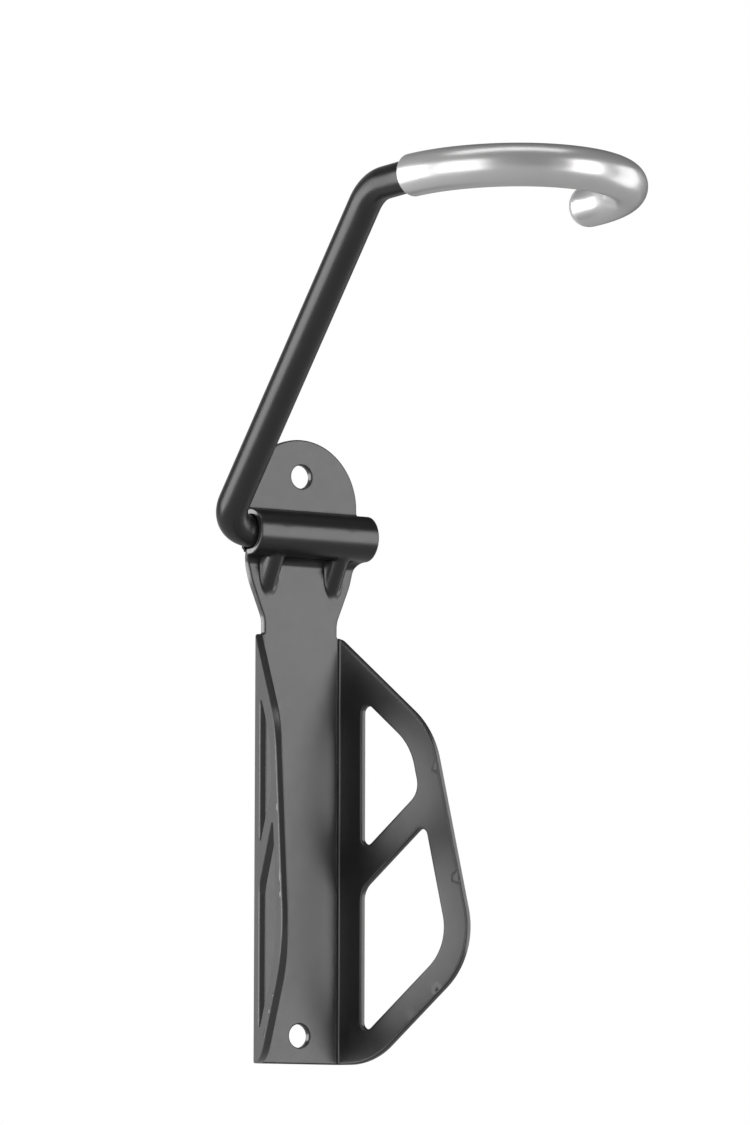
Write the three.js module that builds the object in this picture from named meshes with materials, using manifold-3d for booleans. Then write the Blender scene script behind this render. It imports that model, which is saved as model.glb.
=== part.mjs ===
// Bicycle wall rack: a stamped wall plate with a tyre channel, and a folding hook rod in a padded sleeve.
// Millimetres. +X runs right along the wall, +Y into the wall, +Z up.
// The pieces are drawn with z = 0 at the plate's bottom edge, then lowered so that the part's origin lies
// on the wall face, midway between the two screw holes.
import * as THREE from 'three';
import { mergeVertices } from 'three/addons/utils/BufferGeometryUtils.js';
import Module from 'manifold-3d';

const wasm = await Module();
wasm.setup();

// ---- driving dimensions ----
const SHEET = 2.8;               // 12 gauge steel sheet of the wall plate, with its coat
const GAP = 0.35;                // clearance between separate pieces that touch
const SCREW_HOLE_R = 4.4;        // clears an 8 mm screw
const LOWER_HOLE_Z = 10.5;
const HOLE_SPACING = 210.5;

const CHANNEL_HALF = 17.2;       // inside half width of the tyre channel at its back
const CHANNEL_TOP = 160.6;
const BEND_INSIDE = 1.5;         // inside radius of the two channel bends
const SPLAY = rad(22.5);         // the flanges lean this far outward from square
const EDGE_SLOPE = rad(40.8);    // flange edges that run in towards the bend
const FRONT_SLOPE = rad(12.9);   // the flange's front edge reaches further out as it goes down
const SHOULDER_REACH = 41.8;     // upper corner of the flange, measured from the inside bend line
const SHOULDER_Z = 124;
const NOSE_Z = 39.8;             // lower corner of the flange
const RIM = 10.6;                // metal left round the flange windows
const WINDOW_BACK = 10.4;        // the windows start this far from the inside bend line
const WEB_Z = 65.2;              // lower edge of the web between the windows, at their back edge
const SHOULDER_R = 34.5;
const NOSE_R = 29.7;
const TOE_R = 28;
const SHARP_R = 2.6;             // small window corners

const NECK_HALF = 16.3;
const KNUCKLE_HALF = 26.3;       // half length of the rod's knuckle
const TAB_RADIUS = 25;
const TAB_TOP = 235;

const ROD_R = 6;
const JOURNAL_PLAY = 0.35;       // radial running clearance in the knuckle
const PIVOT_DEPTH = 7.8;         // pivot axis in front of the wall
const PIVOT_Z = 198.3;
const KNUCKLE_WALL = 2.3;        // the sheet thins where it is drawn round the rod
const FILLET_BELOW = 4;          // front fillets of the sheet below and above the knuckle
const FILLET_ABOVE = 2;
const JOURNAL_END = 25.3;

const ARM_X = -38.4;
const ARM_LEAN = rad(41);        // forward lean of the arm in use
const ARM_LENGTH = 153.5;        // between the two bend corners
const ELBOW_R = 12.8;            // centreline bend radii
const CREST_R = 18;
const HOOK_HEADING = rad(5);     // the hook starts this far right of straight out
const HOOK_RISE = rad(3.1);      // slope of the hook's plane
const HOOK_STRAIGHT = 18;        // from the crest corner to the hook's arc
const HOOK_R = 45.7;
const HOOK_SWEEP = rad(185);

const SLEEVE_R = 7.8;
const SLEEVE_BORE_R = 6.45;
const SLEEVE_START = 4;          // from the start of the hook's arc
const SLEEVE_LIP = 0.9;          // rounding of the sleeve's open end

const DART_X = 14.4;             // stiffening darts under the knuckle
const DART_R = 3.9;
const DART_WALL = 2.2;
const DART_FOOT_Z = 176;
const DART_LEAN = rad(30);

const STRAP_INNER_X = 16.2;      // straps that keep the journal in the knuckle
const STRAP_OUTER_X = 25;
const STRAP_HALF_HEIGHT = 6.5;
const STRAP_THICK = 1.4;

const KEY_WIDTH = 4;             // stop key let into the journal
const KEY_REACH = 7.4;           // radius of the key's outer corners
const KEY_SEAT = 4;              // distance of the keyway's floor from the axis
const KEY_HALF_LENGTH = 15;
const KEY_ANGLE = rad(144);      // from straight out, over the top, to the key's middle

// ---- worked out from them ----
const MID_Z = LOWER_HOLE_Z + HOLE_SPACING / 2;
const KNUCKLE_IN = ROD_R + JOURNAL_PLAY;
const WEB_OFFSET = RIM / Math.cos(EDGE_SLOPE);
const ARC_STEP = rad(11);
const ROD_SIDES = 14;
const ROD_STEPS = 110;
const SLEEVE_SIDES = 16;
const SLEEVE_STEPS = 34;

function rad(degrees) {
  return degrees * Math.PI / 180;
}

// ---- outlines ----
function arcPoints(centre, radius, from, to, step = ARC_STEP) {
  const count = Math.max(1, Math.ceil(Math.abs(to - from) / step));
  const points = [];
  for (let i = 0; i <= count; i += 1) {
    const a = from + (to - from) * i / count;
    points.push(new THREE.Vector2(centre.x + radius * Math.cos(a), centre.y + radius * Math.sin(a)));
  }
  return points;
}

// A polygon given by its corners [x, y, radius], each rounded by an arc where it has a radius.
function roundedOutline(corners) {
  const points = [];
  corners.forEach(([x, y, radius = 0], i) => {
    const corner = new THREE.Vector2(x, y);
    if (radius === 0) {
      points.push(corner);
      return;
    }
    const [bx, by] = corners[(i + corners.length - 1) % corners.length];
    const [ax, ay] = corners[(i + 1) % corners.length];
    const before = new THREE.Vector2(bx, by).sub(corner).normalize();
    const after = new THREE.Vector2(ax, ay).sub(corner).normalize();
    const half = Math.acos(before.dot(after)) / 2;
    const centre = before.clone().add(after).normalize().multiplyScalar(radius / Math.sin(half)).add(corner);
    const start = before.multiplyScalar(radius / Math.tan(half)).add(corner).sub(centre).angle();
    const end = after.multiplyScalar(radius / Math.tan(half)).add(corner).sub(centre).angle();
    const turn = Math.atan2(Math.sin(end - start), Math.cos(end - start));
    points.push(...arcPoints(centre, radius, start, start + turn));
  });
  return points;
}

function circleOutline(radius, sides) {
  return arcPoints(new THREE.Vector2(), radius, 0, 2 * Math.PI, 2 * Math.PI / sides).slice(0, sides);
}

// Where two lines meet, each given by a point and a direction angle.
function crossing([x1, y1], angle1, [x2, y2], angle2) {
  const cross = Math.sin(angle2 - angle1);
  const reach = ((x2 - x1) * Math.sin(angle2) - (y2 - y1) * Math.cos(angle2)) / cross;
  return [x1 + reach * Math.cos(angle1), y1 + reach * Math.sin(angle1)];
}

function mirrored(points) {
  return points.map((p) => new THREE.Vector2(-p.x, p.y));
}

// ---- solids ----
function solidOf(geometry) {
  const bare = geometry.index ? geometry.toNonIndexed() : geometry.clone();
  bare.deleteAttribute('normal');
  bare.deleteAttribute('uv');
  const merged = mergeVertices(bare, 1e-4);
  return new wasm.Manifold(new wasm.Mesh({
    numProp: 3,
    vertProperties: new Float32Array(merged.attributes.position.array),
    triVerts: new Uint32Array(merged.index.array),
  }));
}

function geometryOf(solid) {
  const { vertProperties, triVerts } = solid.getMesh();
  const geometry = new THREE.BufferGeometry();
  geometry.setAttribute('position', new THREE.BufferAttribute(new Float32Array(vertProperties), 3));
  geometry.setIndex(new THREE.BufferAttribute(new Uint32Array(triVerts), 1));
  geometry.computeVertexNormals();
  return geometry;
}

function extruded(points, depth, holes = []) {
  const shape = new THREE.Shape(points);
  shape.holes = holes.map((hole) => new THREE.Path(hole));
  return new THREE.ExtrudeGeometry(shape, { depth, bevelEnabled: false });
}

function boxBetween(low, high) {
  const size = high.map((v, i) => v - low[i]);
  const centre = high.map((v, i) => (v + low[i]) / 2);
  return new THREE.BoxGeometry(...size).translate(...centre);
}

// Drawn as (depth in front of the wall, height) and extruded across x, centred on x = 0.
function acrossPart(points, width) {
  const basis = new THREE.Matrix4().makeBasis(
    new THREE.Vector3(0, -1, 0),
    new THREE.Vector3(0, 0, 1),
    new THREE.Vector3(-1, 0, 0),
  );
  return extruded(points, width).applyMatrix4(basis).translate(width / 2, 0, 0);
}

// Drawn as (x, height) and extruded forward through the plate.
function throughPlate(points) {
  return extruded(points, 40).rotateX(Math.PI / 2).translate(0, 5, 0);
}

// ---- wall plate ----
// The sheet's profile as (depth, height): the face that lies a given distance from the back face.
function sheetFace(offset) {
  const pivot = new THREE.Vector2(PIVOT_DEPTH, PIVOT_Z);
  const round = KNUCKLE_IN + offset * KNUCKLE_WALL / SHEET;
  const below = filletOf(FILLET_BELOW, round, offset);
  const above = filletOf(FILLET_ABOVE, round, offset);
  const lower = new THREE.Vector2(offset + below.radius, PIVOT_Z - below.rise);
  const upper = new THREE.Vector2(offset + above.radius, PIVOT_Z + above.rise);
  return [
    new THREE.Vector2(offset, CHANNEL_TOP - 20),
    ...arcPoints(lower, below.radius, Math.PI, below.meet),
    ...arcPoints(pivot, round, below.meet - Math.PI, Math.PI - above.meet).slice(1),
    ...arcPoints(upper, above.radius, -above.meet, -Math.PI).slice(1),
    new THREE.Vector2(offset, TAB_TOP + 5),
  ];
}

// A fillet between the knuckle and the flat sheet: every face of the sheet turns through the same angle.
function filletOf(frontRadius, round, offset) {
  const away = PIVOT_DEPTH - SHEET - frontRadius;
  const meet = Math.acos(away / (KNUCKLE_IN + KNUCKLE_WALL + frontRadius));
  const radius = (PIVOT_DEPTH - offset - round * Math.cos(meet)) / (1 + Math.cos(meet));
  return { meet, radius, rise: (round + radius) * Math.sin(meet) };
}

function upperSheet() {
  const profile = [...sheetFace(SHEET), ...sheetFace(0).reverse()];
  const right = [
    [NECK_HALF, CHANNEL_TOP - 10],
    [NECK_HALF, 166.4, 10],
    [22, 180.3, 25],
    [23.8, 187.5, 4],
    [KNUCKLE_HALF, 192],
    [KNUCKLE_HALF, 207.5],
    [TAB_RADIUS, 209.5],
    [TAB_RADIUS, TAB_TOP, TAB_RADIUS - 0.05],
  ];
  const left = right.map(([x, z, radius]) => [-x, z, radius]).reverse();
  const outline = roundedOutline([...right, ...left]);
  return solidOf(acrossPart(profile, 70)).intersect(solidOf(throughPlate(outline)));
}

// The channel's section as (x, depth), with flanges left long enough to be trimmed.
function channelSection() {
  const turn = Math.PI / 2 - SPLAY;
  const centre = new THREE.Vector2(CHANNEL_HALF - BEND_INSIDE * Math.tan(turn / 2), SHEET + BEND_INSIDE);
  const along = new THREE.Vector2(Math.sin(SPLAY), Math.cos(SPLAY)).multiplyScalar(70);
  const face = (radius) => {
    const points = arcPoints(centre, radius, -Math.PI / 2, turn - Math.PI / 2, rad(18));
    return [...points, points.at(-1).clone().add(along)];
  };
  const outer = face(BEND_INSIDE + SHEET);
  const inner = face(BEND_INSIDE);
  return [...outer, ...inner.toReversed(), ...mirrored(inner), ...mirrored(outer).toReversed()];
}

// The flange's outline and windows as (distance from the inside bend line, height).
function flangeOutline() {
  const top = [0, CHANNEL_TOP];
  const frontPoint = [SHOULDER_REACH, SHOULDER_Z];
  const frontAngle = FRONT_SLOPE - Math.PI / 2;
  const nose = [SHOULDER_REACH + (SHOULDER_Z - NOSE_Z) * Math.tan(FRONT_SLOPE), NOSE_Z];
  const toe = crossing(nose, EDGE_SLOPE, [0, 0], 0);
  const shoulder = crossing(top, -EDGE_SLOPE, frontPoint, frontAngle);
  return [
    [-8, 0],
    [...toe, TOE_R],
    [...nose, NOSE_R],
    [...shoulder, SHOULDER_R],
    top,
    [-8, CHANNEL_TOP],
  ];
}

function flangeWindows() {
  const frontAngle = FRONT_SLOPE - Math.PI / 2;
  const front = [SHOULDER_REACH - RIM / Math.cos(FRONT_SLOPE), SHOULDER_Z];
  const noseReach = SHOULDER_REACH + (SHOULDER_Z - NOSE_Z) * Math.tan(FRONT_SLOPE);
  const back = [WINDOW_BACK, 0];
  const up = Math.PI / 2;
  const topEdge = [0, CHANNEL_TOP - WEB_OFFSET];
  const bottomEdge = [noseReach, NOSE_Z + WEB_OFFSET];
  const webBelow = [WINDOW_BACK, WEB_Z];
  const webAbove = [WINDOW_BACK, WEB_Z + WEB_OFFSET];
  const upper = [
    [...crossing(back, up, webAbove, EDGE_SLOPE), SHARP_R],
    [...crossing(front, frontAngle, webAbove, EDGE_SLOPE), 8],
    [...crossing(front, frontAngle, topEdge, -EDGE_SLOPE), 23],
    [...crossing(back, up, topEdge, -EDGE_SLOPE), SHARP_R],
  ];
  const lower = [
    [...crossing(back, up, bottomEdge, EDGE_SLOPE), SHARP_R],
    [...crossing(front, frontAngle, bottomEdge, EDGE_SLOPE), NOSE_R - RIM],
    [...crossing(front, frontAngle, webBelow, EDGE_SLOPE), SHARP_R],
    [...crossing(back, up, webBelow, EDGE_SLOPE), 8],
  ];
  return [upper, lower];
}

// Places a flat shape drawn as (distance from the inside bend line, height) through one flange.
function throughFlange(side, points, thickness, holes = []) {
  const along = new THREE.Vector3(side * Math.sin(SPLAY), -Math.cos(SPLAY), 0);
  const up = new THREE.Vector3(0, 0, 1);
  const across = along.clone().cross(up);
  const middle = new THREE.Vector3(side * Math.cos(SPLAY), Math.sin(SPLAY), 0).multiplyScalar(SHEET / 2);
  return extruded(points, thickness, holes)
    .translate(0, 0, -thickness / 2)
    .applyMatrix4(new THREE.Matrix4().makeBasis(along, up, across))
    .translate(side * CHANNEL_HALF + middle.x, middle.y - SHEET, 0);
}

function flangeOffcut(side) {
  const zone = roundedOutline([[-1, -1], [75, -1], [75, CHANNEL_TOP + 1], [-1, CHANNEL_TOP + 1]]);
  const holes = flangeWindows().map(roundedOutline);
  const blank = solidOf(throughFlange(side, roundedOutline(flangeOutline()), SHEET + 7, holes));
  return solidOf(throughFlange(side, zone, SHEET + 6)).subtract(blank);
}

function channel() {
  const section = extruded(channelSection(), CHANNEL_TOP).rotateX(Math.PI).translate(0, 0, CHANNEL_TOP);
  return solidOf(section).subtract(flangeOffcut(1)).subtract(flangeOffcut(-1));
}

// A round-topped bar along a dart's crest, drawn across x and sunk a given distance below the crest.
function dartBar(x, radius, sink) {
  const crown = arcPoints(new THREE.Vector2(0, -radius), radius, 0, Math.PI, rad(20));
  const section = [new THREE.Vector2(radius, -26), ...crown, new THREE.Vector2(-radius, -26)];
  const basis = new THREE.Matrix4().makeBasis(
    new THREE.Vector3(1, 0, 0),
    new THREE.Vector3(0, -Math.cos(DART_LEAN), -Math.sin(DART_LEAN)),
    new THREE.Vector3(0, Math.sin(DART_LEAN), -Math.cos(DART_LEAN)),
  );
  return solidOf(extruded(section, 26)
    .translate(0, -sink, -19.5)
    .applyMatrix4(basis)
    .translate(x, -SHEET, DART_FOOT_Z));
}

function inFrontOfSheet() {
  const face = sheetFace(SHEET / 2).filter((p) => p.y <= PIVOT_Z);
  const far = new THREE.Vector2(PIVOT_DEPTH + 30, PIVOT_Z);
  const low = new THREE.Vector2(PIVOT_DEPTH + 30, CHANNEL_TOP - 20);
  return solidOf(acrossPart([...face, far, low], 60));
}

function wallPlate() {
  const front = inFrontOfSheet();
  let plate = upperSheet().add(channel());
  [-DART_X, DART_X].forEach((x) => {
    plate = plate.add(dartBar(x, DART_R, 0).intersect(front));
    plate = plate.subtract(dartBar(x, DART_R - DART_WALL, DART_WALL));
  });
  [LOWER_HOLE_Z, LOWER_HOLE_Z + HOLE_SPACING].forEach((z) => {
    const hole = circleOutline(SCREW_HOLE_R, 24);
    plate = plate.subtract(solidOf(throughPlate(hole).translate(0, 0, z)));
  });
  return geometryOf(plate);
}

// ---- hook rod and its sleeve ----
class Arc3 extends THREE.Curve {
  constructor(centre, from, towards, angle) {
    super();
    Object.assign(this, { centre, from, towards, angle });
  }

  getPoint(t, target = new THREE.Vector3()) {
    const a = t * this.angle;
    return target.copy(this.centre)
      .addScaledVector(this.from, Math.cos(a))
      .addScaledVector(this.towards, Math.sin(a));
  }
}

// A line through points, with its inner corners rounded to the given centreline radii.
function bentLine(points, radii) {
  const path = new THREE.CurvePath();
  let last = points[0];
  radii.forEach((radius, i) => {
    const corner = points[i + 1];
    const back = points[i].clone().sub(corner).normalize();
    const on = points[i + 2].clone().sub(corner).normalize();
    const half = back.angleTo(on) / 2;
    const start = corner.clone().addScaledVector(back, radius / Math.tan(half));
    const middle = back.clone().add(on).normalize().multiplyScalar(radius / Math.sin(half)).add(corner);
    const from = start.clone().sub(middle);
    path.add(new THREE.LineCurve3(last, start));
    path.add(new Arc3(middle, from, back.clone().multiplyScalar(-radius), Math.PI - 2 * half));
    last = corner.clone().addScaledVector(on, radius / Math.tan(half));
  });
  path.add(new THREE.LineCurve3(last, points.at(-1)));
  return path;
}

function hookArc() {
  const side = new THREE.Vector3(1, 0, 0);
  const out = new THREE.Vector3(0, -Math.cos(HOOK_RISE), Math.sin(HOOK_RISE));
  const ahead = out.clone().multiplyScalar(Math.cos(HOOK_HEADING)).addScaledVector(side, Math.sin(HOOK_HEADING));
  const inward = side.clone().multiplyScalar(Math.cos(HOOK_HEADING)).addScaledVector(out, -Math.sin(HOOK_HEADING));
  const start = crest().addScaledVector(ahead, HOOK_STRAIGHT);
  const centre = start.clone().addScaledVector(inward, HOOK_R);
  const from = inward.clone().multiplyScalar(-HOOK_R);
  return new Arc3(centre, from, ahead.clone().multiplyScalar(HOOK_R), HOOK_SWEEP);
}

function elbow() {
  return new THREE.Vector3(ARM_X, -PIVOT_DEPTH, PIVOT_Z);
}

function crest() {
  const rise = new THREE.Vector3(0, -Math.sin(ARM_LEAN), Math.cos(ARM_LEAN));
  return elbow().addScaledVector(rise, ARM_LENGTH);
}

function rodPath() {
  const journalEnd = new THREE.Vector3(JOURNAL_END, -PIVOT_DEPTH, PIVOT_Z);
  const arc = hookArc();
  const path = bentLine([journalEnd, elbow(), crest(), arc.getPoint(0)], [ELBOW_R, CREST_R]);
  path.add(arc);
  return path;
}

// A bar along the knuckle that sits in the journal, given by its distances from the pivot axis.
function keyBar(inner, outer, width, halfLength) {
  const section = [
    new THREE.Vector2(inner, -width / 2),
    new THREE.Vector2(outer, -width / 2),
    new THREE.Vector2(outer, width / 2),
    new THREE.Vector2(inner, width / 2),
  ];
  const turned = section.map((p) => p.rotateAround(new THREE.Vector2(), KEY_ANGLE));
  return acrossPart(turned, 2 * halfLength).translate(0, -PIVOT_DEPTH, PIVOT_Z);
}

function hookRod() {
  const shape = new THREE.Shape(circleOutline(ROD_R, ROD_SIDES));
  const extrudePath = rodPath();
  const rod = new THREE.ExtrudeGeometry(shape, { steps: ROD_STEPS, bevelEnabled: false, extrudePath });
  const keyway = keyBar(KEY_SEAT, ROD_R + 2, KEY_WIDTH + 2 * GAP, KEY_HALF_LENGTH + GAP);
  return geometryOf(solidOf(rod).subtract(solidOf(keyway)));
}

function stopKey() {
  const face = Math.sqrt(KEY_REACH ** 2 - (KEY_WIDTH / 2) ** 2);
  return keyBar(KEY_SEAT + GAP, face, KEY_WIDTH, KEY_HALF_LENGTH);
}

function retainingStrap(side) {
  const ends = [side * STRAP_INNER_X, side * STRAP_OUTER_X].sort((a, b) => a - b);
  return boxBetween(
    [ends[0], -STRAP_THICK, PIVOT_Z - STRAP_HALF_HEIGHT],
    [ends[1], 0, PIVOT_Z + STRAP_HALF_HEIGHT],
  );
}

// Turned as a straight thimble along y, then bent round the hook's arc.
function hookSleeve() {
  const arc = hookArc();
  const rodEnd = HOOK_R * HOOK_SWEEP;
  const boreEnd = rodEnd + GAP;
  const profile = [];
  for (let i = 6; i >= 1; i -= 1) {
    const a = i * Math.PI / 12;
    profile.push(new THREE.Vector2(SLEEVE_R * Math.cos(a), rodEnd + SLEEVE_R * Math.sin(a)));
  }
  profile[0].x = 0;
  for (let i = SLEEVE_STEPS; i >= 0; i -= 1) {
    const y = SLEEVE_START + SLEEVE_LIP + (rodEnd - SLEEVE_START - SLEEVE_LIP) * i / SLEEVE_STEPS;
    profile.push(new THREE.Vector2(SLEEVE_R, y));
  }
  profile.push(new THREE.Vector2(SLEEVE_R - SLEEVE_LIP, SLEEVE_START));
  for (let i = 0; i <= SLEEVE_STEPS; i += 1) {
    profile.push(new THREE.Vector2(SLEEVE_BORE_R, SLEEVE_START + (boreEnd - SLEEVE_START) * i / SLEEVE_STEPS));
  }
  profile.push(new THREE.Vector2(0, boreEnd));
  const geometry = new THREE.LatheGeometry(profile.reverse(), SLEEVE_SIDES);
  const outward = arc.from.clone().normalize();
  const ahead = arc.towards.clone().normalize();
  const normal = outward.clone().cross(ahead);
  const position = geometry.attributes.position;
  for (let i = 0; i < position.count; i += 1) {
    const angle = position.getY(i) / HOOK_R;
    const radial = outward.clone().multiplyScalar(Math.cos(angle)).addScaledVector(ahead, Math.sin(angle));
    const point = arc.centre.clone()
      .addScaledVector(radial, HOOK_R + position.getX(i))
      .addScaledVector(normal, position.getZ(i));
    position.setXYZ(i, point.x, point.y, point.z);
  }
  geometry.computeVertexNormals();
  return geometry;
}

// ---- materials ----
const powderCoat = { color: 0x29292b, roughness: 0.38, metalness: 0.1 };
const bareSteel = { color: 0x9a9ca0, roughness: 0.4, metalness: 0.9 };
const greyVinyl = { color: 0xa9aaac, roughness: 0.3, metalness: 0 };

function piece(name, geometry, finish) {
  const mesh = new THREE.Mesh(geometry, new THREE.MeshStandardMaterial(finish));
  mesh.name = name;
  return mesh;
}

// ---- assembly ----
const plateAssembly = new THREE.Group();
plateAssembly.add(
  piece('wall_plate', wallPlate(), powderCoat),
  piece('left_retaining_strap', retainingStrap(-1), powderCoat),
  piece('right_retaining_strap', retainingStrap(1), powderCoat),
);

const hookAssembly = new THREE.Group();
hookAssembly.add(
  piece('hook_rod', hookRod(), powderCoat),
  piece('stop_key', stopKey(), bareSteel),
  piece('hook_sleeve', hookSleeve(), greyVinyl),
);

const lowered = new THREE.Group();
lowered.position.z = -MID_Z;
lowered.add(plateAssembly, hookAssembly);

const rack = new THREE.Group();
rack.add(lowered);

export default rack;
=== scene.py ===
"""Looks of the bicycle wall rack: fine meshes, finishes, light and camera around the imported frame.

Shapes are worked out in millimetres with z = 0 at the plate's bottom edge, and placed in the frame's metres
by to_frame(). Depth is measured from the wall face towards the viewer, which is the frame's -Y.
"""
import math

import bmesh
import bpy
import numpy as np
from mathutils import Matrix, Vector
from mathutils.geometry import delaunay_2d_cdt


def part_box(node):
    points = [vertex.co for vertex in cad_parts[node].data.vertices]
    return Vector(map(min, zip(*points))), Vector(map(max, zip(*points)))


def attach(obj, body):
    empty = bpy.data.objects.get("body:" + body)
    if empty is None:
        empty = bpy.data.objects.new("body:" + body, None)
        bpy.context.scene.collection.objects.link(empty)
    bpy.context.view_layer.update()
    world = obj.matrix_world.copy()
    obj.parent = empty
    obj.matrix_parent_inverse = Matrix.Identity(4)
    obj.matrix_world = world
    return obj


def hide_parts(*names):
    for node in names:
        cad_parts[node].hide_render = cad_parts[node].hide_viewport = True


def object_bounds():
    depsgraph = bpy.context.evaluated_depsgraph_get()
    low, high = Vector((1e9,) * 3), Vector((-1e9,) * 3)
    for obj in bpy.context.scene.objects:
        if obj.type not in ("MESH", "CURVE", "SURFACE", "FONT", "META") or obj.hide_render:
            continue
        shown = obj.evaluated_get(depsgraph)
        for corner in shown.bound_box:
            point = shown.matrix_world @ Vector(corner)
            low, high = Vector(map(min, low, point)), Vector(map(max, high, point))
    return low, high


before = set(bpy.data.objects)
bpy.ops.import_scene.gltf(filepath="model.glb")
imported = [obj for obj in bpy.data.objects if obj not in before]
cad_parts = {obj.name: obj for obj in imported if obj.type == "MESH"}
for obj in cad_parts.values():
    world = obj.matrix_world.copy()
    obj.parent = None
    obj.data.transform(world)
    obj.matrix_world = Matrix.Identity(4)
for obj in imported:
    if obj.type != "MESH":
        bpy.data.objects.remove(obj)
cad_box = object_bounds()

MM = 0.001
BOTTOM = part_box("wall_plate")[0].z

# ---- plate ----
SHEET = 2.8
HALF = SHEET / 2
TAB_TOP = (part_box("wall_plate")[1].z - BOTTOM) / MM
SCREW_HOLE_R = 4.4
LOWER_HOLE_Z = 10.5
HOLE_SPACING = 210.5
CHANNEL_HALF = 17.2              # inside half width at the channel's back
CHANNEL_TOP = 160.6
BEND_INSIDE = 1.5
SPLAY = math.radians(22.5)
EDGE_SLOPE = math.radians(40.8)
FRONT_SLOPE = math.radians(12.9)
SHOULDER_REACH = 41.8            # from the inside bend line
SHOULDER_Z = 124.0
NOSE_Z = 39.8
RIM = 10.6                       # metal round the flange windows
WINDOW_BACK = 10.4
WEB_Z = 65.2
SHOULDER_R = 34.5
NOSE_R = 29.7
TOE_R = 28.0
SHARP_R = 2.6                    # small window corners
BLUNT_R = 8.0                    # window corners beside the web
UPPER_FRONT_R = 23.0
NECK_HALF = 16.3
KNUCKLE_HALF = 26.3
TAB_RADIUS = 25.0
EDGE_ROUND = 0.55                # rounding of the coated sheet's cut edges
GUARD = 0.6                      # flat ring that keeps the rounding's shading at the edge
BACK_IN_STEP = 12.0              # past a fillet, the sheet's two faces are level again after this much

# ---- knuckle and darts ----
ROD_R = 6.0
KNUCKLE_IN = ROD_R + 0.35
KNUCKLE_WALL = 2.3               # the sheet thins where it is drawn round the rod
PIVOT_DEPTH = 7.8
PIVOT_Z = 198.3
FILLET_BELOW = 4.0               # front fillets of the sheet below and above the knuckle
FILLET_ABOVE = 2.0
DART_X = 14.4
DART_R = 3.9
DART_WALL = 2.2
DART_FOOT_Z = 176.0
DART_LEAN = math.radians(30)
DART_RUN_IN = 6.0                # length over which a dart rises from the sheet
DART_BLEND = 1.2                 # softness of its edges
DART_FLANK = 0.93                # share of its half width where the steep flank starts
DART_DROP = 9.0                  # steepness of the flank
DART_LOWEST = 12.0               # nothing is lifted this far below the foot

# ---- rod and sleeve ----
JOURNAL_END = 25.3
JOURNAL_CHAMFER = 0.8
ARM_X = -38.4
ARM_LEAN = math.radians(41)
ARM_LENGTH = 153.5
ELBOW_R = 12.8
CREST_R = 18.0
HOOK_HEADING = math.radians(5)
HOOK_RISE = math.radians(3.1)
HOOK_STRAIGHT = 18.0
HOOK_R = 45.7
HOOK_SWEEP = math.radians(185)
SLEEVE_R = 7.8
SLEEVE_INNER = 6.08
SLEEVE_START = 4.0
SLEEVE_LIP = 0.9                 # length of the rounded open end
SLEEVE_TIP_R = 0.02              # the dome and the bore each close in a tiny flat

# ---- key and straps ----
KEY_WIDTH = 4.0
KEY_REACH = 7.4
KEY_SEAT = 4.0
KEY_HALF_LENGTH = 15.0
KEY_ANGLE = math.radians(144)
KEY_CLEAR = 0.35
KEY_EDGE = 0.35
STRAP_CORNER_R = 1.5
STRAP_EDGE = ((0.7, 0), (0.3, 0), (0.09, 0.09), (0, 0.3))    # its rounding, as inset and depth
WELD_R = 0.55
WELD_RIPPLE = 0.07
WELD_INSET = 0.6                 # each bead stops short of the strap's ends
WELD_CLEAR = 0.15                # and runs this far outside its edge

BEND_TURN = math.pi / 2 - SPLAY
BEND_X = CHANNEL_HALF - BEND_INSIDE * math.tan(BEND_TURN / 2)
BEND_MID_R = BEND_INSIDE + HALF
BEND_LENGTH = BEND_MID_R * BEND_TURN
FLANGE_START = BEND_X + BEND_LENGTH - BEND_INSIDE * math.tan(BEND_TURN / 2)
WEB_OFFSET = RIM / math.cos(EDGE_SLOPE)


def meeting_angle(front_radius):
    """How far a fillet turns back from the wall before it runs into the knuckle's round."""
    return math.acos((PIVOT_DEPTH - SHEET - front_radius) / (KNUCKLE_IN + KNUCKLE_WALL + front_radius))


def fillet_at(meet, offset):
    """The round's and the fillet's radius, and the fillet's height off the pivot, for one face."""
    round_r = KNUCKLE_IN + offset * KNUCKLE_WALL / SHEET
    radius = (PIVOT_DEPTH - offset - round_r * math.cos(meet)) / (1 + math.cos(meet))
    return round_r, radius, (round_r + radius) * math.sin(meet)


MEET_BELOW, MEET_ABOVE = meeting_angle(FILLET_BELOW), meeting_angle(FILLET_ABOVE)
MID_ROUND, MID_BELOW, RISE_BELOW = fillet_at(MEET_BELOW, HALF)
MID_ABOVE, RISE_ABOVE = fillet_at(MEET_ABOVE, HALF)[1:]
LOWER_FLAT = PIVOT_Z - RISE_BELOW
ROUND_START = LOWER_FLAT + MID_BELOW * (math.pi - MEET_BELOW)
ROUND_END = ROUND_START + MID_ROUND * (2 * math.pi - MEET_BELOW - MEET_ABOVE)
UPPER_FLAT = ROUND_END + MID_ABOVE * (math.pi - MEET_ABOVE)
DEVELOPED_EXTRA = UPPER_FLAT - (PIVOT_Z + RISE_ABOVE)


def to_frame(x, depth, z):
    return Vector((x * MM, -depth * MM, z * MM + BOTTOM))


# ---- outlines ----
def arc(centre, radius, start, end, tolerance=0.012):
    step = 2 * math.acos(1 - tolerance / max(radius, 2 * tolerance))
    count = max(2, math.ceil(abs(end - start) / step))
    angles = [start + (end - start) * i / count for i in range(count + 1)]
    return [(centre[0] + radius * math.cos(a), centre[1] + radius * math.sin(a)) for a in angles]


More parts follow.
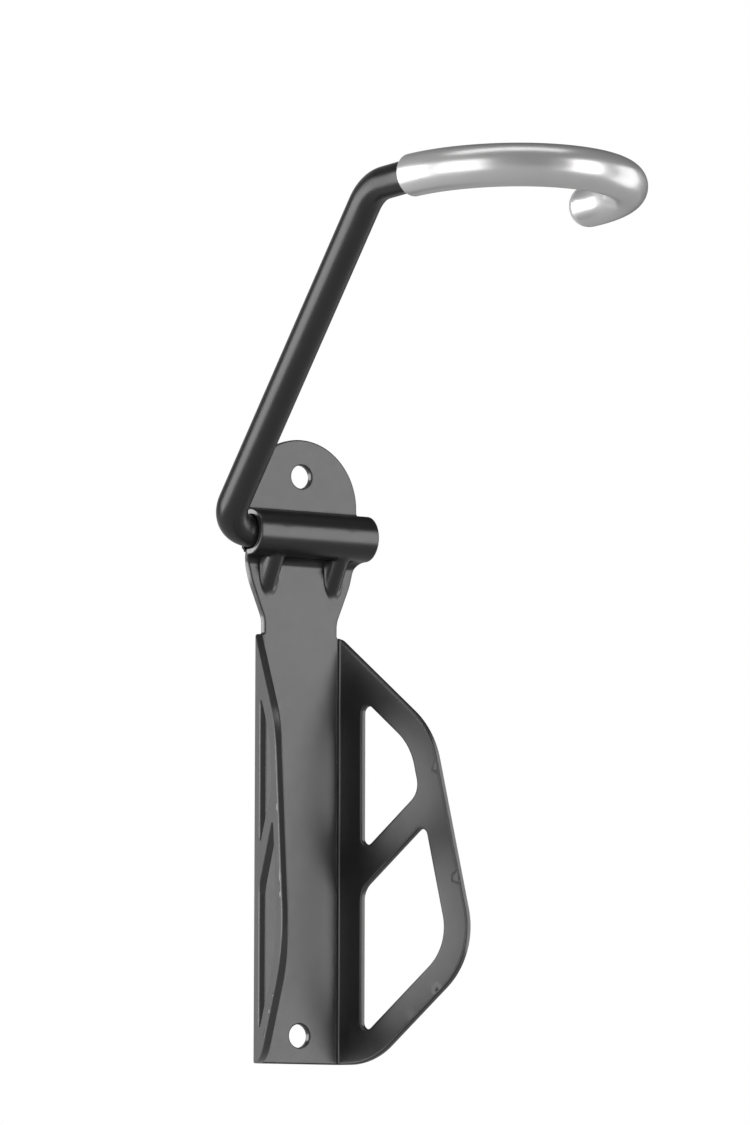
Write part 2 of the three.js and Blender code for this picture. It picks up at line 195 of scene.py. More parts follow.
def rounded(corners):
    """A polygon given by its corners (x, y, radius), each rounded by an arc where the radius isn't zero."""
    points = []
    for i, (x, y, radius) in enumerate(corners):
        corner = Vector((x, y))
        if radius == 0:
            points.append((x, y))
            continue
        before = (Vector(corners[i - 1][:2]) - corner).normalized()
        after = (Vector(corners[(i + 1) % len(corners)][:2]) - corner).normalized()
        half = math.acos(max(-1, min(1, before.dot(after)))) / 2
        centre = corner + (before + after).normalized() * (radius / math.sin(half))
        first = corner + before * (radius / math.tan(half)) - centre
        last = corner + after * (radius / math.tan(half)) - centre
        start = math.atan2(first.y, first.x)
        turn = math.atan2(last.y, last.x) - start
        turn = math.atan2(math.sin(turn), math.cos(turn))
        points += arc(centre, radius, start, start + turn)
    return points


def crossing(p, angle_p, q, angle_q):
    """Where two lines meet, each given by a point and a direction angle."""
    off_line = (q[0] - p[0]) * math.sin(angle_q) - (q[1] - p[1]) * math.cos(angle_q)
    reach = off_line / math.sin(angle_q - angle_p)
    return p[0] + reach * math.cos(angle_p), p[1] + reach * math.sin(angle_p)


def nose_point():
    return SHOULDER_REACH + (SHOULDER_Z - NOSE_Z) * math.tan(FRONT_SLOPE), NOSE_Z


def blank_outline():
    """The flat blank's outline as (developed x, developed height), anticlockwise."""
    front = FRONT_SLOPE - math.pi / 2
    toe = crossing(nose_point(), EDGE_SLOPE, (0, 0), 0)
    shoulder = crossing((0, CHANNEL_TOP), -EDGE_SLOPE, (SHOULDER_REACH, SHOULDER_Z), front)
    flange = [(*toe, TOE_R), (*nose_point(), NOSE_R), (*shoulder, SHOULDER_R), (0, CHANNEL_TOP, 2.6)]
    right = [(FLANGE_START + a, z, radius) for a, z, radius in flange]
    right += [
        (NECK_HALF, CHANNEL_TOP, 0.8),
        (NECK_HALF, 166.4, 10),
        (22, 180.3, 25),
        (23.8, 187.5, 4),
        (KNUCKLE_HALF, 193, 3),
        (KNUCKLE_HALF, ROUND_END - 1, 1.5),
        (TAB_RADIUS, UPPER_FLAT, 3),
        (TAB_RADIUS, TAB_TOP + DEVELOPED_EXTRA, TAB_RADIUS - 0.05),
    ]
    left = [(-x, z, radius) for x, z, radius in reversed(right)]
    return rounded(right + left)


def window_outlines(side):
    """One flange's two windows, in the blank's developed coordinates."""
    front_angle = FRONT_SLOPE - math.pi / 2
    front = (SHOULDER_REACH - RIM / math.cos(FRONT_SLOPE), SHOULDER_Z)
    back = (WINDOW_BACK, 0)
    up = math.pi / 2
    top_edge = (0, CHANNEL_TOP - WEB_OFFSET)
    bottom_edge = (nose_point()[0], NOSE_Z + WEB_OFFSET)
    web_below = (WINDOW_BACK, WEB_Z)
    web_above = (WINDOW_BACK, WEB_Z + WEB_OFFSET)
    upper = [
        (*crossing(back, up, web_above, EDGE_SLOPE), SHARP_R),
        (*crossing(front, front_angle, web_above, EDGE_SLOPE), BLUNT_R),
        (*crossing(front, front_angle, top_edge, -EDGE_SLOPE), UPPER_FRONT_R),
        (*crossing(back, up, top_edge, -EDGE_SLOPE), SHARP_R),
    ]
    lower = [
        (*crossing(back, up, bottom_edge, EDGE_SLOPE), SHARP_R),
        (*crossing(front, front_angle, bottom_edge, EDGE_SLOPE), NOSE_R - RIM),
        (*crossing(front, front_angle, web_below, EDGE_SLOPE), SHARP_R),
        (*crossing(back, up, web_below, EDGE_SLOPE), BLUNT_R),
    ]
    placed = ([(side * (FLANGE_START + a), z, radius) for a, z, radius in w] for w in (upper, lower))
    return [rounded(corners) for corners in placed]


def screw_hole(z):
    return arc((0, z), SCREW_HOLE_R, 0, 2 * math.pi)[:-1]


# ---- the sheet's bends ----
def profile(t, h):
    """Depth and height of the sheet at developed height t, and h in front of mid-sheet."""
    offset = HALF + h
    if t >= ROUND_END:
        fillet, rise = fillet_at(MEET_ABOVE, offset)[1:]
        a = math.pi + max(UPPER_FLAT - t, 0) / MID_ABOVE
        height = PIVOT_Z + rise + fillet * math.sin(a) + max(t - UPPER_FLAT, 0)
        return offset + fillet * (1 + math.cos(a)), height - (rise - RISE_ABOVE) * settled(t - UPPER_FLAT)
    round_r, fillet, rise = fillet_at(MEET_BELOW, offset)
    if t <= ROUND_START:
        a = math.pi - max(t - LOWER_FLAT, 0) / MID_BELOW
        height = PIVOT_Z - rise + fillet * math.sin(a) + min(t - LOWER_FLAT, 0)
        return offset + fillet * (1 + math.cos(a)), height + (rise - RISE_BELOW) * settled(LOWER_FLAT - t)
    a = MEET_BELOW - math.pi + (t - ROUND_START) / MID_ROUND
    return PIVOT_DEPTH + round_r * math.cos(a), PIVOT_Z + round_r * math.sin(a)


def settled(past):
    """How far the two faces of the flat are back in step, this far past a fillet."""
    return min(max(past / BACK_IN_STEP, 0), 1)


def bent(s, t, h):
    """Where a point of the blank lies in the formed sheet, as x, depth and height."""
    x = abs(s)
    depth, z = profile(t, h)
    if t <= CHANNEL_TOP + 0.01 and x > BEND_X:
        turned = min((x - BEND_X) / BEND_MID_R, BEND_TURN)
        past = x - BEND_X - BEND_LENGTH if turned == BEND_TURN else 0
        inward = BEND_MID_R - h
        x = BEND_X + inward * math.sin(turned) + past * math.cos(turned)
        depth = SHEET + BEND_INSIDE - inward * math.cos(turned) + past * math.sin(turned)
    return math.copysign(x, s), depth, z


def soft_max(a, b, radius):
    gap = max(radius - abs(a - b), 0) / radius
    return max(a, b) + gap * gap * radius / 4


def with_darts(x, depth, z, h):
    """Lifts the sheet over the two pressed darts; h says which face the point is on."""
    if not DART_FOOT_Z - DART_LOWEST < z < PIVOT_Z + 1:
        return x, depth, z
    along, out = (math.sin(DART_LEAN), math.cos(DART_LEAN)), (math.cos(DART_LEAN), -math.sin(DART_LEAN))
    rel = (depth - SHEET, z - DART_FOOT_Z)
    run = rel[0] * along[0] + rel[1] * along[1]
    lift = rel[0] * out[0] + rel[1] * out[1]
    sink = HALF - h
    radius = max(DART_R - sink * DART_WALL / SHEET, 0.4)
    across = abs(abs(x) - DART_X) / radius
    crown = -sink * DART_WALL / SHEET + radius * (math.sqrt(max(1 - min(across, 1) ** 2, 0)) - 1)
    crown -= max(across - DART_FLANK, 0) * radius * DART_DROP
    crown = min(crown, lift + 14)
    raised = soft_max(lift, crown, DART_BLEND)
    fade = min(max((run + DART_RUN_IN) / DART_RUN_IN, 0), 1)
    move = (raised - lift) * fade
    return x, depth + move * out[0], z + move * out[1]


def surface(s, t, h):
    return with_darts(*bent(s, t, h), h)


# ---- meshing ----
FINE, MEDIUM, COARSE = 0.45, 0.9, 3.0


def spacing(s, t):
    """How far apart the mesh's points are there: fine on the bends and darts, medium round the knuckle."""
    on_bend = t <= CHANNEL_TOP and BEND_X - 1.2 < abs(s) < BEND_X + BEND_LENGTH + 1.2
    on_dart = DART_FOOT_Z - 8 < t < ROUND_START + 12 and abs(abs(s) - DART_X) < 7.5
    if on_bend or on_dart:
        return FINE
    return MEDIUM if LOWER_FLAT - 2 < t < UPPER_FLAT + 2 else COARSE


def between(p, q, step, steps):
    return p[0] + (q[0] - p[0]) * step / steps, p[1] + (q[1] - p[1]) * step / steps


def subdivided(loop):
    """The loop with points added along its sides, as close as the finest spacing that a side passes."""
    points = []
    for i, p in enumerate(loop):
        q = loop[(i + 1) % len(loop)]
        finest = min(spacing(*between(p, q, k, 8)) for k in range(9))
        count = max(1, round(math.dist(p, q) / finest))
        points += [between(p, q, k, count) for k in range(count)]
    return np.array(points)


def inset(loop, distance):
    """Moves an anticlockwise loop inwards, or a clockwise one outwards from its hole."""
    before = loop - np.roll(loop, 1, axis=0)
    after = np.roll(loop, -1, axis=0) - loop
    normals = []
    for step in (before, after):
        step = step / np.linalg.norm(step, axis=1)[:, None]
        normals.append(np.stack([-step[:, 1], step[:, 0]], axis=1))
    both = normals[0] + normals[1]
    scale = 1 + (normals[0] * normals[1]).sum(axis=1)
    return loop + both / scale[:, None] * distance


def winding(loop):
    x, y = loop[:, 0], loop[:, 1]
    return (x * np.roll(y, -1) - y * np.roll(x, -1)).sum()


def inside(points, loops):
    """Even-odd test of many points against all the loops."""
    odd = np.zeros(len(points), bool)
    for loop in loops:
        nxt = np.roll(loop, -1, axis=0)
        for (x1, y1), (x2, y2) in zip(loop, nxt):
            if y1 == y2:
                continue
            spans = (points[:, 1] < max(y1, y2)) & (points[:, 1] >= min(y1, y2))
            odd ^= spans & (points[:, 0] < x1 + (points[:, 1] - y1) * (x2 - x1) / (y2 - y1))
    return odd


def grid_points(loops):
    """Points to fill the blank: a coarse grid, with finer ones where the sheet bends."""
    low, high = loops[0].min(axis=0), loops[0].max(axis=0)
    found = []
    for size in (COARSE, MEDIUM, FINE):
        xs = np.arange(-math.ceil(high[0] / size) * size, high[0], size)
        ys = np.arange(low[1], high[1], size)
        for y in ys:
            found += [(x, y) for x in xs if abs(spacing(x, y) - size) < 0.01]
    points = np.array(found)
    points = points[inside(points, loops)]
    rims = np.concatenate(loops)
    keep = np.ones(len(points), bool)
    for i, (x, y) in enumerate(points):
        nearest = np.min((rims[:, 0] - x) ** 2 + (rims[:, 1] - y) ** 2)
        keep[i] = nearest > (0.75 * spacing(x, y)) ** 2
    return points[keep]


def mesh_object(name, verts, faces, rim=None):
    mesh = bpy.data.meshes.new(name)
    mesh.from_pydata(verts, [], faces)
    if rim is not None:
        mesh.attributes.new("rim", "FLOAT", "POINT").data.foreach_set("value", rim)
    work = bmesh.new()
    work.from_mesh(mesh)
    bmesh.ops.recalc_face_normals(work, faces=work.faces)
    work.to_mesh(mesh)
    work.free()
    mesh.shade_smooth()
    piece = bpy.data.objects.new(name, mesh)
    bpy.context.scene.collection.objects.link(piece)
    return piece


def wall_plate():
    """Both faces of the blank triangulated flat, joined round every edge, then bent into shape."""
    holes = (LOWER_HOLE_Z, LOWER_HOLE_Z + HOLE_SPACING + DEVELOPED_EXTRA)
    outlines = [blank_outline(), *(screw_hole(z) for z in holes)]
    for side in (-1, 1):
        outlines += window_outlines(side)
    loops = []
    for i, outline in enumerate(outlines):
        loop = subdivided(outline)
        if (winding(loop) > 0) != (i == 0):
            loop = loop[::-1]
        loops.append(loop)
    flat = [inset(loop, EDGE_ROUND + GUARD) for loop in loops]
    filled = grid_points(flat)
    points = np.concatenate(flat + [filled])
    edges, start = [], 0
    for loop in flat:
        edges += [(start + i, start + (i + 1) % len(loop)) for i in range(len(loop))]
        start += len(loop)
    cut = delaunay_2d_cdt([Vector(p) for p in points], edges, [], 0, 1e-6, True)
    source = [ids[0] for ids in cut[3]]
    triangles = np.array([[source[v] for v in face] for face in cut[2]])
    triangles = triangles[inside(points[triangles].mean(axis=1), flat)]

    verts, rim = [], []
    for h in (HALF, -HALF):
        verts += [to_frame(*surface(s, t, h)) for s, t in points]
        rim += [0.0] * len(points)
    faces = [tuple(t) for t in triangles] + [tuple(t + len(points)) for t in triangles[:, ::-1]]
    steps = [math.radians(a) for a in (0, 22.5, 45, 67.5, 90)]
    turns = [(a, 1) for a in steps] + [(a, -1) for a in reversed(steps)]
    first = 0
    for loop in loops:
        count = len(loop)
        rows = [list(range(first, first + count))]
        for angle, side in turns:
            ring = inset(loop, EDGE_ROUND * (1 - math.sin(angle)))
            h = side * (HALF - EDGE_ROUND * (1 - math.cos(angle)))
            rows.append(list(range(len(verts), len(verts) + count)))
            verts += [to_frame(*surface(s, t, h)) for s, t in ring]
            rim += [math.sin(angle)] * count
        rows.append([v + len(points) for v in rows[0]])
        for a, b in zip(rows, rows[1:]):
            faces += [(a[i], b[i], b[(i + 1) % count], a[(i + 1) % count]) for i in range(count)]
        first += count
    return mesh_object("stamped_wall_plate", verts, faces, rim)


# ---- rod, sleeve, key and straps ----
def hook_arc():
    out = Vector((0, math.cos(HOOK_RISE), math.sin(HOOK_RISE)))
    side = Vector((1, 0, 0))
    ahead = out * math.cos(HOOK_HEADING) + side * math.sin(HOOK_HEADING)
    inward = side * math.cos(HOOK_HEADING) - out * math.sin(HOOK_HEADING)
    start = crest() + ahead * HOOK_STRAIGHT
    return start + inward * HOOK_R, -inward, ahead


def elbow():
    return Vector((ARM_X, PIVOT_DEPTH, PIVOT_Z))


def crest():
    return elbow() + Vector((0, math.sin(ARM_LEAN), math.cos(ARM_LEAN))) * ARM_LENGTH


def arc_path(centre, radial, tangent, radius, sweep, count):
    """Points and directions along an arc, in (x, depth, z)."""
    path = []
    for i in range(count + 1):
        a = sweep * i / count
        point = centre + (radial * math.cos(a) + tangent * math.sin(a)) * radius
        path.append((point, tangent * math.cos(a) - radial * math.sin(a)))
    return path


def corner_path(before, corner, after, radius, count=20):
    back, on = (before - corner).normalized(), (after - corner).normalized()
    half = back.angle(on) / 2
    middle = corner + (back + on).normalized() * (radius / math.sin(half))
    start = corner + back * (radius / math.tan(half))
    return arc_path(middle, (start - middle).normalized(), -back, radius, math.pi - 2 * half, count)


def straight(start, end, count):
    way = (end - start).normalized()
    return [(start.lerp(end, i / count), way) for i in range(1, count)]


def sweep(path, radius_at, sides, across):
    """Rings of points round a path; the path's own bends are planar enough for carried frames."""
    rings = []
    normal = across
    for i, (point, way) in enumerate(path):
        normal = (normal - way * normal.dot(way)).normalized()
        side = way.cross(normal)
        r = radius_at(i)
        rings.append([point + (normal * math.cos(a) + side * math.sin(a)) * r
                      for a in (2 * math.pi * k / sides for k in range(sides))])
    return rings


def tube_faces(rings, sides):
    faces = []
    for i in range(len(rings) - 1):
        a, b = i * sides, (i + 1) * sides
        faces += [(a + k, a + (k + 1) % sides, b + (k + 1) % sides, b + k) for k in range(sides)]
    return faces


def hook_rod():
    journal_end = Vector((JOURNAL_END, PIVOT_DEPTH, PIVOT_Z))
    centre, radial, ahead = hook_arc()
    hook_start = centre + radial * HOOK_R
    bends = [
        corner_path(journal_end, elbow(), crest(), ELBOW_R),
        corner_path(elbow(), crest(), hook_start, CREST_R),
    ]
    way = Vector((-1, 0, 0))
    path = [(journal_end + way * d, way) for d in (0, 0.15, JOURNAL_CHAMFER, JOURNAL_CHAMFER + 0.3)]
    path += straight(path[-1][0], bends[0][0][0], 12) + bends[0]
    path += straight(bends[0][-1][0], bends[1][0][0], 24) + bends[1]
    path += straight(bends[1][-1][0], hook_start, 4)
    path += arc_path(centre, radial, ahead, HOOK_R, HOOK_SWEEP, 80)
    sides = 48
    start = {0: ROD_R - JOURNAL_CHAMFER, 1: ROD_R - JOURNAL_CHAMFER * 0.8}
    rings = sweep(path, lambda i: start.get(i, ROD_R), sides, Vector((0, 0, 1)))
    verts = [to_frame(*p) for ring in rings for p in ring]
    faces = tube_faces(rings, sides)
    for ring, point in ((0, path[0][0]), (len(rings) - 1, path[-1][0])):
        verts.append(to_frame(*point))
        faces += [(len(verts) - 1, ring * sides + k, ring * sides + (k + 1) % sides) for k in range(sides)]
    return mesh_object("bent_hook_rod", verts, faces)


def key_corners(inner, outer, width, half_length):
    """The eight corners of a bar along the journal, from its distances to the pivot axis."""
    turn = Matrix.Rotation(KEY_ANGLE, 2)
    section = ((inner, -width / 2), (outer, -width / 2), (outer, width / 2), (inner, width / 2))
    points = []
    for x in (-half_length, half_length):
        for reach, across in section:
            depth, z = turn @ Vector((reach, across))
            points.append(to_frame(x, PIVOT_DEPTH + depth, PIVOT_Z + z))
    return points


BOX_FACES = [(0, 1, 2, 3), (7, 6, 5, 4), (0, 4, 5, 1), (1, 5, 6, 2), (2, 6, 7, 3), (3, 7, 4, 0)]


def bevelled(piece, width, segments=3):
    modifier = piece.modifiers.new("edges", "BEVEL")
    modifier.width = width
    modifier.segments = segments
    modifier.limit_method = "ANGLE"
    modifier.harden_normals = True
    return piece


def applied(piece):
    """Replaces a piece's mesh by what its modifiers make of it."""
    seen = piece.evaluated_get(bpy.context.evaluated_depsgraph_get())
    mesh = bpy.data.meshes.new_from_object(seen)
    piece.modifiers.clear()
    piece.data = mesh
    return piece


def stop_key():
    face = math.sqrt(KEY_REACH ** 2 - (KEY_WIDTH / 2) ** 2)
    corners = key_corners(KEY_SEAT + KEY_CLEAR, face, KEY_WIDTH, KEY_HALF_LENGTH)
    return applied(bevelled(mesh_object("stop_key_bar", corners, BOX_FACES), KEY_EDGE * MM))


def retaining_strap(side):
    """A small welded plate with rounded edges and a rippled weld bead above and below."""
    low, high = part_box(side + "_retaining_strap")
    left, right = low.x / MM, high.x / MM
    bottom, top = (low.z - BOTTOM) / MM, (high.z - BOTTOM) / MM
    back, thick = -high.y / MM, (high.y - low.y) / MM
    rows = [*STRAP_EDGE, *((margin, thick - depth) for margin, depth in reversed(STRAP_EDGE))]
    verts = []
    for margin, depth in rows:
        xs, zs = (left + margin, right - margin), (bottom + margin, top - margin)
        corners = [(xs[0], zs[0]), (xs[1], zs[0]), (xs[1], zs[1]), (xs[0], zs[1])]
        for x, z in corners:
            inward = Vector((xs[0] + xs[1], zs[0] + zs[1])) / 2 - Vector((x, z))
            radius = STRAP_CORNER_R - margin
            centre = (x + math.copysign(radius, inward.x), z + math.copysign(radius, inward.y))
            start = math.atan2(-inward.y, -inward.x)
            start = round((start - math.pi / 4) / (math.pi / 2)) * math.pi / 2
            verts += [to_frame(centre[0] + radius * math.cos(start + k * math.pi / 12), back + depth,
                               centre[1] + radius * math.sin(start + k * math.pi / 12)) for k in range(7)]
    count = len(verts) // len(rows)
    faces = tube_faces(rows, count)
    faces += [tuple(range(count)), tuple(range(len(verts) - count, len(verts)))]
    for z in (bottom - WELD_CLEAR, top + WELD_CLEAR):
        start = len(verts)
        rings = weld_bead(left + WELD_INSET, right - WELD_INSET, back + thick * 0.55, z)
        verts += [to_frame(*p) for ring in rings for p in ring]
        sides = len(rings[0])
        faces += [tuple(start + v for v in face) for face in tube_faces(rings, sides)]
        faces += [tuple(range(start, start + sides)), tuple(range(len(verts) - sides, len(verts)))]
    return mesh_object("welded_" + side + "_strap", verts, faces)


def weld_bead(start, end, depth, z):
    """Rings of a rippled bead along x that swells from nothing at both ends."""
    steps = 60
    along = [start + (end - start) * i / steps for i in range(steps + 1)]
    path = [(Vector((x, depth, z)), Vector((1, 0, 0))) for x in along]
    ripple = [WELD_R + WELD_RIPPLE * math.sin(i * 1.05) for i in range(steps + 1)]
    swell = [min(1, 0.35 + min(i, steps - i) / 5) for i in range(steps + 1)]
    return sweep(path, lambda i: ripple[i] * swell[i], 14, Vector((0, 0, 1)))


def cut_keyway(rod):
    corners = key_corners(KEY_SEAT, ROD_R + 2, KEY_WIDTH + 2 * KEY_CLEAR, KEY_HALF_LENGTH + KEY_CLEAR)
    cutter = mesh_object("keyway_cutter", corners, BOX_FACES)
    modifier = rod.modifiers.new("keyway", "BOOLEAN")
    modifier.operation = "DIFFERENCE"
    modifier.solver = "EXACT"
    modifier.object = cutter
    applied(rod)
    bpy.data.objects.remove(cutter)
    return rod


def hook_sleeve():
    """A dipped thimble: domed tip, rolled lip and a bore that grips the rod."""
    centre, radial, ahead = hook_arc()
    end = HOOK_R * HOOK_SWEEP
    body = SLEEVE_START + SLEEVE_LIP
    stations = []                # distance along the hook's arc, and radius there
    for i in range(9):
        a = math.pi / 2 - math.pi / 2 * i / 8
        stations.append((end + SLEEVE_R * math.sin(a), max(SLEEVE_R * math.cos(a), SLEEVE_TIP_R)))
    stations += [(end + (body - end) * i / 96, SLEEVE_R) for i in range(1, 97)]
    lip_r = (SLEEVE_R - SLEEVE_INNER) / 2
    for i in range(1, 9):
        a = math.pi * i / 8
        stations.append((body - lip_r * math.sin(a), SLEEVE_R - lip_r + lip_r * math.cos(a)))
    stations += [(body + (end - body) * i / 40, SLEEVE_INNER) for i in range(1, 41)]
    stations += [(end + 0.3, SLEEVE_INNER - 0.5), (end + 0.35, SLEEVE_TIP_R)]
    path = []
    for along, _ in stations:
        a = along / HOOK_R
        away = radial * math.cos(a) + ahead * math.sin(a)
        path.append((centre + away * HOOK_R, ahead * math.cos(a) - radial * math.sin(a)))
    sides = 56
    rings = sweep(path, lambda i: stations[i][1], sides, radial)
    verts = [to_frame(*p) for ring in rings for p in ring]
    faces = tube_faces(rings, sides)
    faces += [tuple(range(sides)), tuple(range(len(verts) - sides, len(verts)))]
    return mesh_object("dipped_hook_sleeve", verts, faces)


# ---- finishes ----
def node_tree(name):
    material = bpy.data.materials.new(name)
    material.use_nodes = True
    tree = material.node_tree
    shader = tree.nodes["Principled BSDF"]
    coords = tree.nodes.new("ShaderNodeTexCoord")
    return material, tree, shader, coords.outputs["Object"]


def noise(tree, coords, scale, detail=2.0, roughness=0.5):
    node = tree.nodes.new("ShaderNodeTexNoise")
    node.inputs["Scale"].default_value = scale
    node.inputs["Detail"].default_value = detail
    node.inputs["Roughness"].default_value = roughness
    tree.links.new(coords, node.inputs["Vector"])
    return node.outputs["Fac"]


def remapped(tree, value, low, high, start=0.3, end=0.7):
    node = tree.nodes.new("ShaderNodeMapRange")
    node.inputs["From Min"].default_value = start
    node.inputs["From Max"].default_value = end
    node.inputs["To Min"].default_value = low
    node.inputs["To Max"].default_value = high
    tree.links.new(value, node.inputs["Value"])
    return node.outputs["Result"]


def blended(tree, factor, first, second):
    """A colour between two, each a tuple or another node's output."""
    node = tree.nodes.new("ShaderNodeMix")
    node.data_type = "RGBA"
    tree.links.new(factor, node.inputs[0])
    for socket, value in ((node.inputs[6], first), (node.inputs[7], second)):
        if isinstance(value, tuple):
            socket.default_value = (*value, 1)
        else:
            tree.links.new(value, socket)
    return node.outputs[2]


def bump(tree, height, distance, strength):
    node = tree.nodes.new("ShaderNodeBump")
    node.inputs["Distance"].default_value = distance
    node.inputs["Strength"].default_value = strength
    tree.links.new(height, node.inputs["Height"])
    return node.outputs["Normal"]


def powder_coat():
    material, tree, shader, coords = node_tree("satin_black_powder_coat")
    rim = tree.nodes.new("ShaderNodeAttribute")
    rim.attribute_name = "rim"
    mottle = noise(tree, coords, 90, 3)
    body = blended(tree, remapped(tree, mottle, 0, 1), (0.0078, 0.0072, 0.0073), (0.0096, 0.0089, 0.009))
    # Lighter towards the rounded cut edges, following the rim attribute: partly the coat pulled thin there,
    # partly a painted highlight along the edges
    thin_coat_and_edge_highlight = remapped(tree, rim.outputs["Fac"], 0, 0.6, 0, 1)
    tree.links.new(blended(tree, thin_coat_and_edge_highlight, body, (0.032, 0.0315, 0.0315)), shader.inputs["Base Color"])
    peel = noise(tree, coords, 620, 1.5)
    tree.links.new(remapped(tree, noise(tree, coords, 240, 3), 0.29, 0.32), shader.inputs["Roughness"])
    tree.links.new(bump(tree, peel, 0.04 * MM, 0.05), shader.inputs["Normal"])
    return material


def grey_vinyl():
    material, tree, shader, coords = node_tree("dipped_grey_vinyl")
    cloud = noise(tree, coords, 60, 3)
    tone = blended(tree, remapped(tree, cloud, 0, 1), (0.415, 0.41, 0.41), (0.445, 0.44, 0.44))
    tree.links.new(tone, shader.inputs["Base Color"])
    tree.links.new(remapped(tree, noise(tree, coords, 180, 2), 0.29, 0.33), shader.inputs["Roughness"])
    tree.links.new(bump(tree, noise(tree, coords, 300, 2), 0.06 * MM, 0.06), shader.inputs["Normal"])
    shader.inputs["Metallic"].default_value = 0.55
    shader.inputs["Coat Weight"].default_value = 0.35
    shader.inputs["Coat Roughness"].default_value = 0.1
    return material


def bare_steel():
    material, tree, shader, coords = node_tree("drawn_key_steel")
    stretch = tree.nodes.new("ShaderNodeMapping")
    stretch.inputs["Scale"].default_value = (40, 2600, 2600)
    tree.links.new(coords, stretch.inputs["Vector"])
    lines = noise(tree, stretch.outputs["Vector"], 1, 2)
    tone = blended(tree, remapped(tree, lines, 0, 1), (0.42, 0.42, 0.44), (0.6, 0.6, 0.62))
    tree.links.new(tone, shader.inputs["Base Color"])
    tree.links.new(remapped(tree, lines, 0.28, 0.45), shader.inputs["Roughness"])
    tree.links.new(bump(tree, lines, 0.02 * MM, 0.4), shader.inputs["Normal"])
    shader.inputs["Metallic"].default_value = 1
    return material


def pale_floor():
    material, tree, shader, coords = node_tree("pale_floor")
    tone = blended(tree, noise(tree, coords, 6, 4), (0.80, 0.80, 0.80), (0.84, 0.84, 0.84))
    tree.links.new(tone, shader.inputs["Base Color"])
    shader.inputs["Roughness"].default_value = 0.9
    return material


# ---- studio ----
STUDIO_MIDDLE = Vector((0, -0.05, 0.07))
WORLD_DIM = 0.04                 # what the white world gives to everything but the camera
FLOOR_HALF = 4.0
FLOOR_DROP = 0.3                 # the rack hangs this far above the floor
# name, azimuth, elevation, distance, size, radiance and what it lights
RACK_LIGHTS = (
    ("key_softbox", 35, 1, 1.3, (0.62, 1.4), 5.5, "rack"),
    ("front_left_softbox", -63, 2, 1.1, (0.75, 1.1), 4.0, "rack"),
    ("left_softbox", -112, 0, 1.0, (0.8, 1.1), 4.9, "rack"),
    ("back_left_softbox", -147, 2, 1.3, (0.55, 0.75), 7, "plate_and_sleeve"),
    ("right_softbox", 80, 0, 1.2, (0.65, 1.2), 2.8, "rack"),
    ("back_softbox", 172, 12, 1.6, (1.2, 1.6), 0.45, "rack"),
    ("top_softbox", -20, 78, 1.2, (1.2, 0.4), 3, "rack"),
)


def direction(azimuth, elevation):
    a, e = math.radians(azimuth), math.radians(elevation)
    return Vector((math.sin(a) * math.cos(e), -math.cos(a) * math.cos(e), math.sin(e)))


def add_camera():
    azimuth, elevation, roll = -33.58, -5.95, 0.157
    target = Vector((0.0352, 0, 0.0751))
    distance = 2.4654
    data = bpy.data.cameras.new("camera")
    data.lens = 207.53
    data.sensor_width = 36
    camera = bpy.data.objects.new("camera", data)
    back = direction(azimuth, elevation)
    right = Vector((0, 0, 1)).cross(back).normalized()
    up = back.cross(right)
    tilt = math.radians(roll)
    right, up = right * math.cos(tilt) + up * math.sin(tilt), up * math.cos(tilt) - right * math.sin(tilt)
    turn = Matrix((right, up, back)).transposed().to_4x4()
    camera.matrix_world = Matrix.Translation(target + back * distance) @ turn
    bpy.context.scene.collection.objects.link(camera)
    bpy.context.scene.camera = camera


def softbox(name, azimuth, elevation, distance, size, brightness, shines_on):
    """A rectangular lamp of the given radiance that lights one collection only."""
    data = bpy.data.lights.new(name, "AREA")
    data.shape = "RECTANGLE"
    data.size, data.size_y = size
    data.energy = brightness * math.pi * size[0] * size[1]
    lamp = bpy.data.objects.new(name, data)
    away = direction(azimuth, elevation)
    lamp.location = STUDIO_MIDDLE + away * distance
    lamp.rotation_euler = away.to_track_quat("Z", "Y").to_euler()
    lamp.visible_camera = False
    lamp.light_linking.receiver_collection = shines_on
    bpy.context.scene.collection.objects.link(lamp)


def collection_of(name, objects):
    collection = bpy.data.collections.new(name)
    for thing in objects:
        collection.objects.link(thing)
    return collection


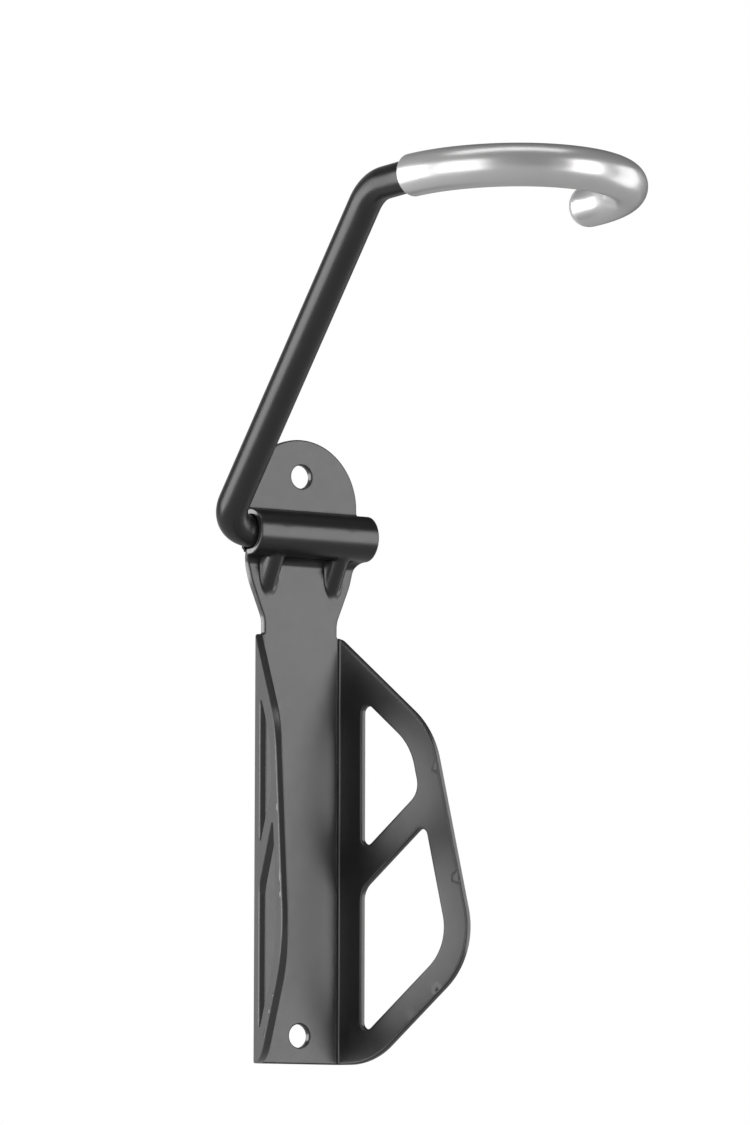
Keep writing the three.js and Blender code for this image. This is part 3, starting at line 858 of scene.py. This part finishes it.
def white_world():
    """White to the camera, dim to everything else."""
    world = bpy.data.worlds.new("white_studio")
    world.use_nodes = True
    tree = world.node_tree
    backdrop = tree.nodes["Background"]
    backdrop.inputs["Color"].default_value = (1, 1, 1, 1)
    seen = tree.nodes.new("ShaderNodeLightPath")
    strength = tree.nodes.new("ShaderNodeMapRange")
    strength.inputs["To Min"].default_value = WORLD_DIM
    strength.inputs["To Max"].default_value = 1.0
    tree.links.new(seen.outputs["Is Camera Ray"], strength.inputs["Value"])
    tree.links.new(strength.outputs["Result"], backdrop.inputs["Strength"])
    return world


def studio(pieces):
    scene = bpy.context.scene
    scene.view_settings.view_transform = "Standard"
    scene.world = white_world()
    plate, _, sleeve = pieces[:3]
    receivers = {
        "rack": collection_of("rack", pieces),
        "plate_and_sleeve": collection_of("plate_and_sleeve", [plate, sleeve]),
    }
    for *lamp, shines_on in RACK_LIGHTS:
        softbox(*lamp, receivers[shines_on])
    z = cad_box[0].z - FLOOR_DROP
    mesh = bpy.data.meshes.new("floor")
    corners = ((-1, -1), (1, -1), (1, 1), (-1, 1))
    mesh.from_pydata([(x * FLOOR_HALF, y * FLOOR_HALF, z) for x, y in corners], [], [(0, 1, 2, 3)])
    mesh.materials.append(pale_floor())
    floor = bpy.data.objects.new("floor", mesh)
    ground = collection_of("ground", [floor])
    scene.collection.children.link(ground)
    softbox("floor_softbox", 0, 90, 2.5, (6, 6), 1.0, ground)


# ---- assembly ----
def fit(piece, body, slot, finish, *nodes):
    piece.data.materials.clear()
    piece.data.materials.append(finish)
    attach(piece, body)
    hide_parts(*nodes)
    return piece


add_camera()
coat, vinyl, steel = powder_coat(), grey_vinyl(), bare_steel()
pieces = [
    fit(wall_plate(), "plate", "powder_coat", coat, "wall_plate"),
    fit(cut_keyway(hook_rod()), "hook", "powder_coat", coat, "hook_rod"),
    fit(hook_sleeve(), "hook", "grey_vinyl", vinyl, "hook_sleeve"),
    fit(stop_key(), "hook", "bare_steel", steel, "stop_key"),
]
for side in ("left", "right"):
    pieces.append(fit(retaining_strap(side), "plate", "powder_coat", coat, side + "_retaining_strap"))
studio(pieces)
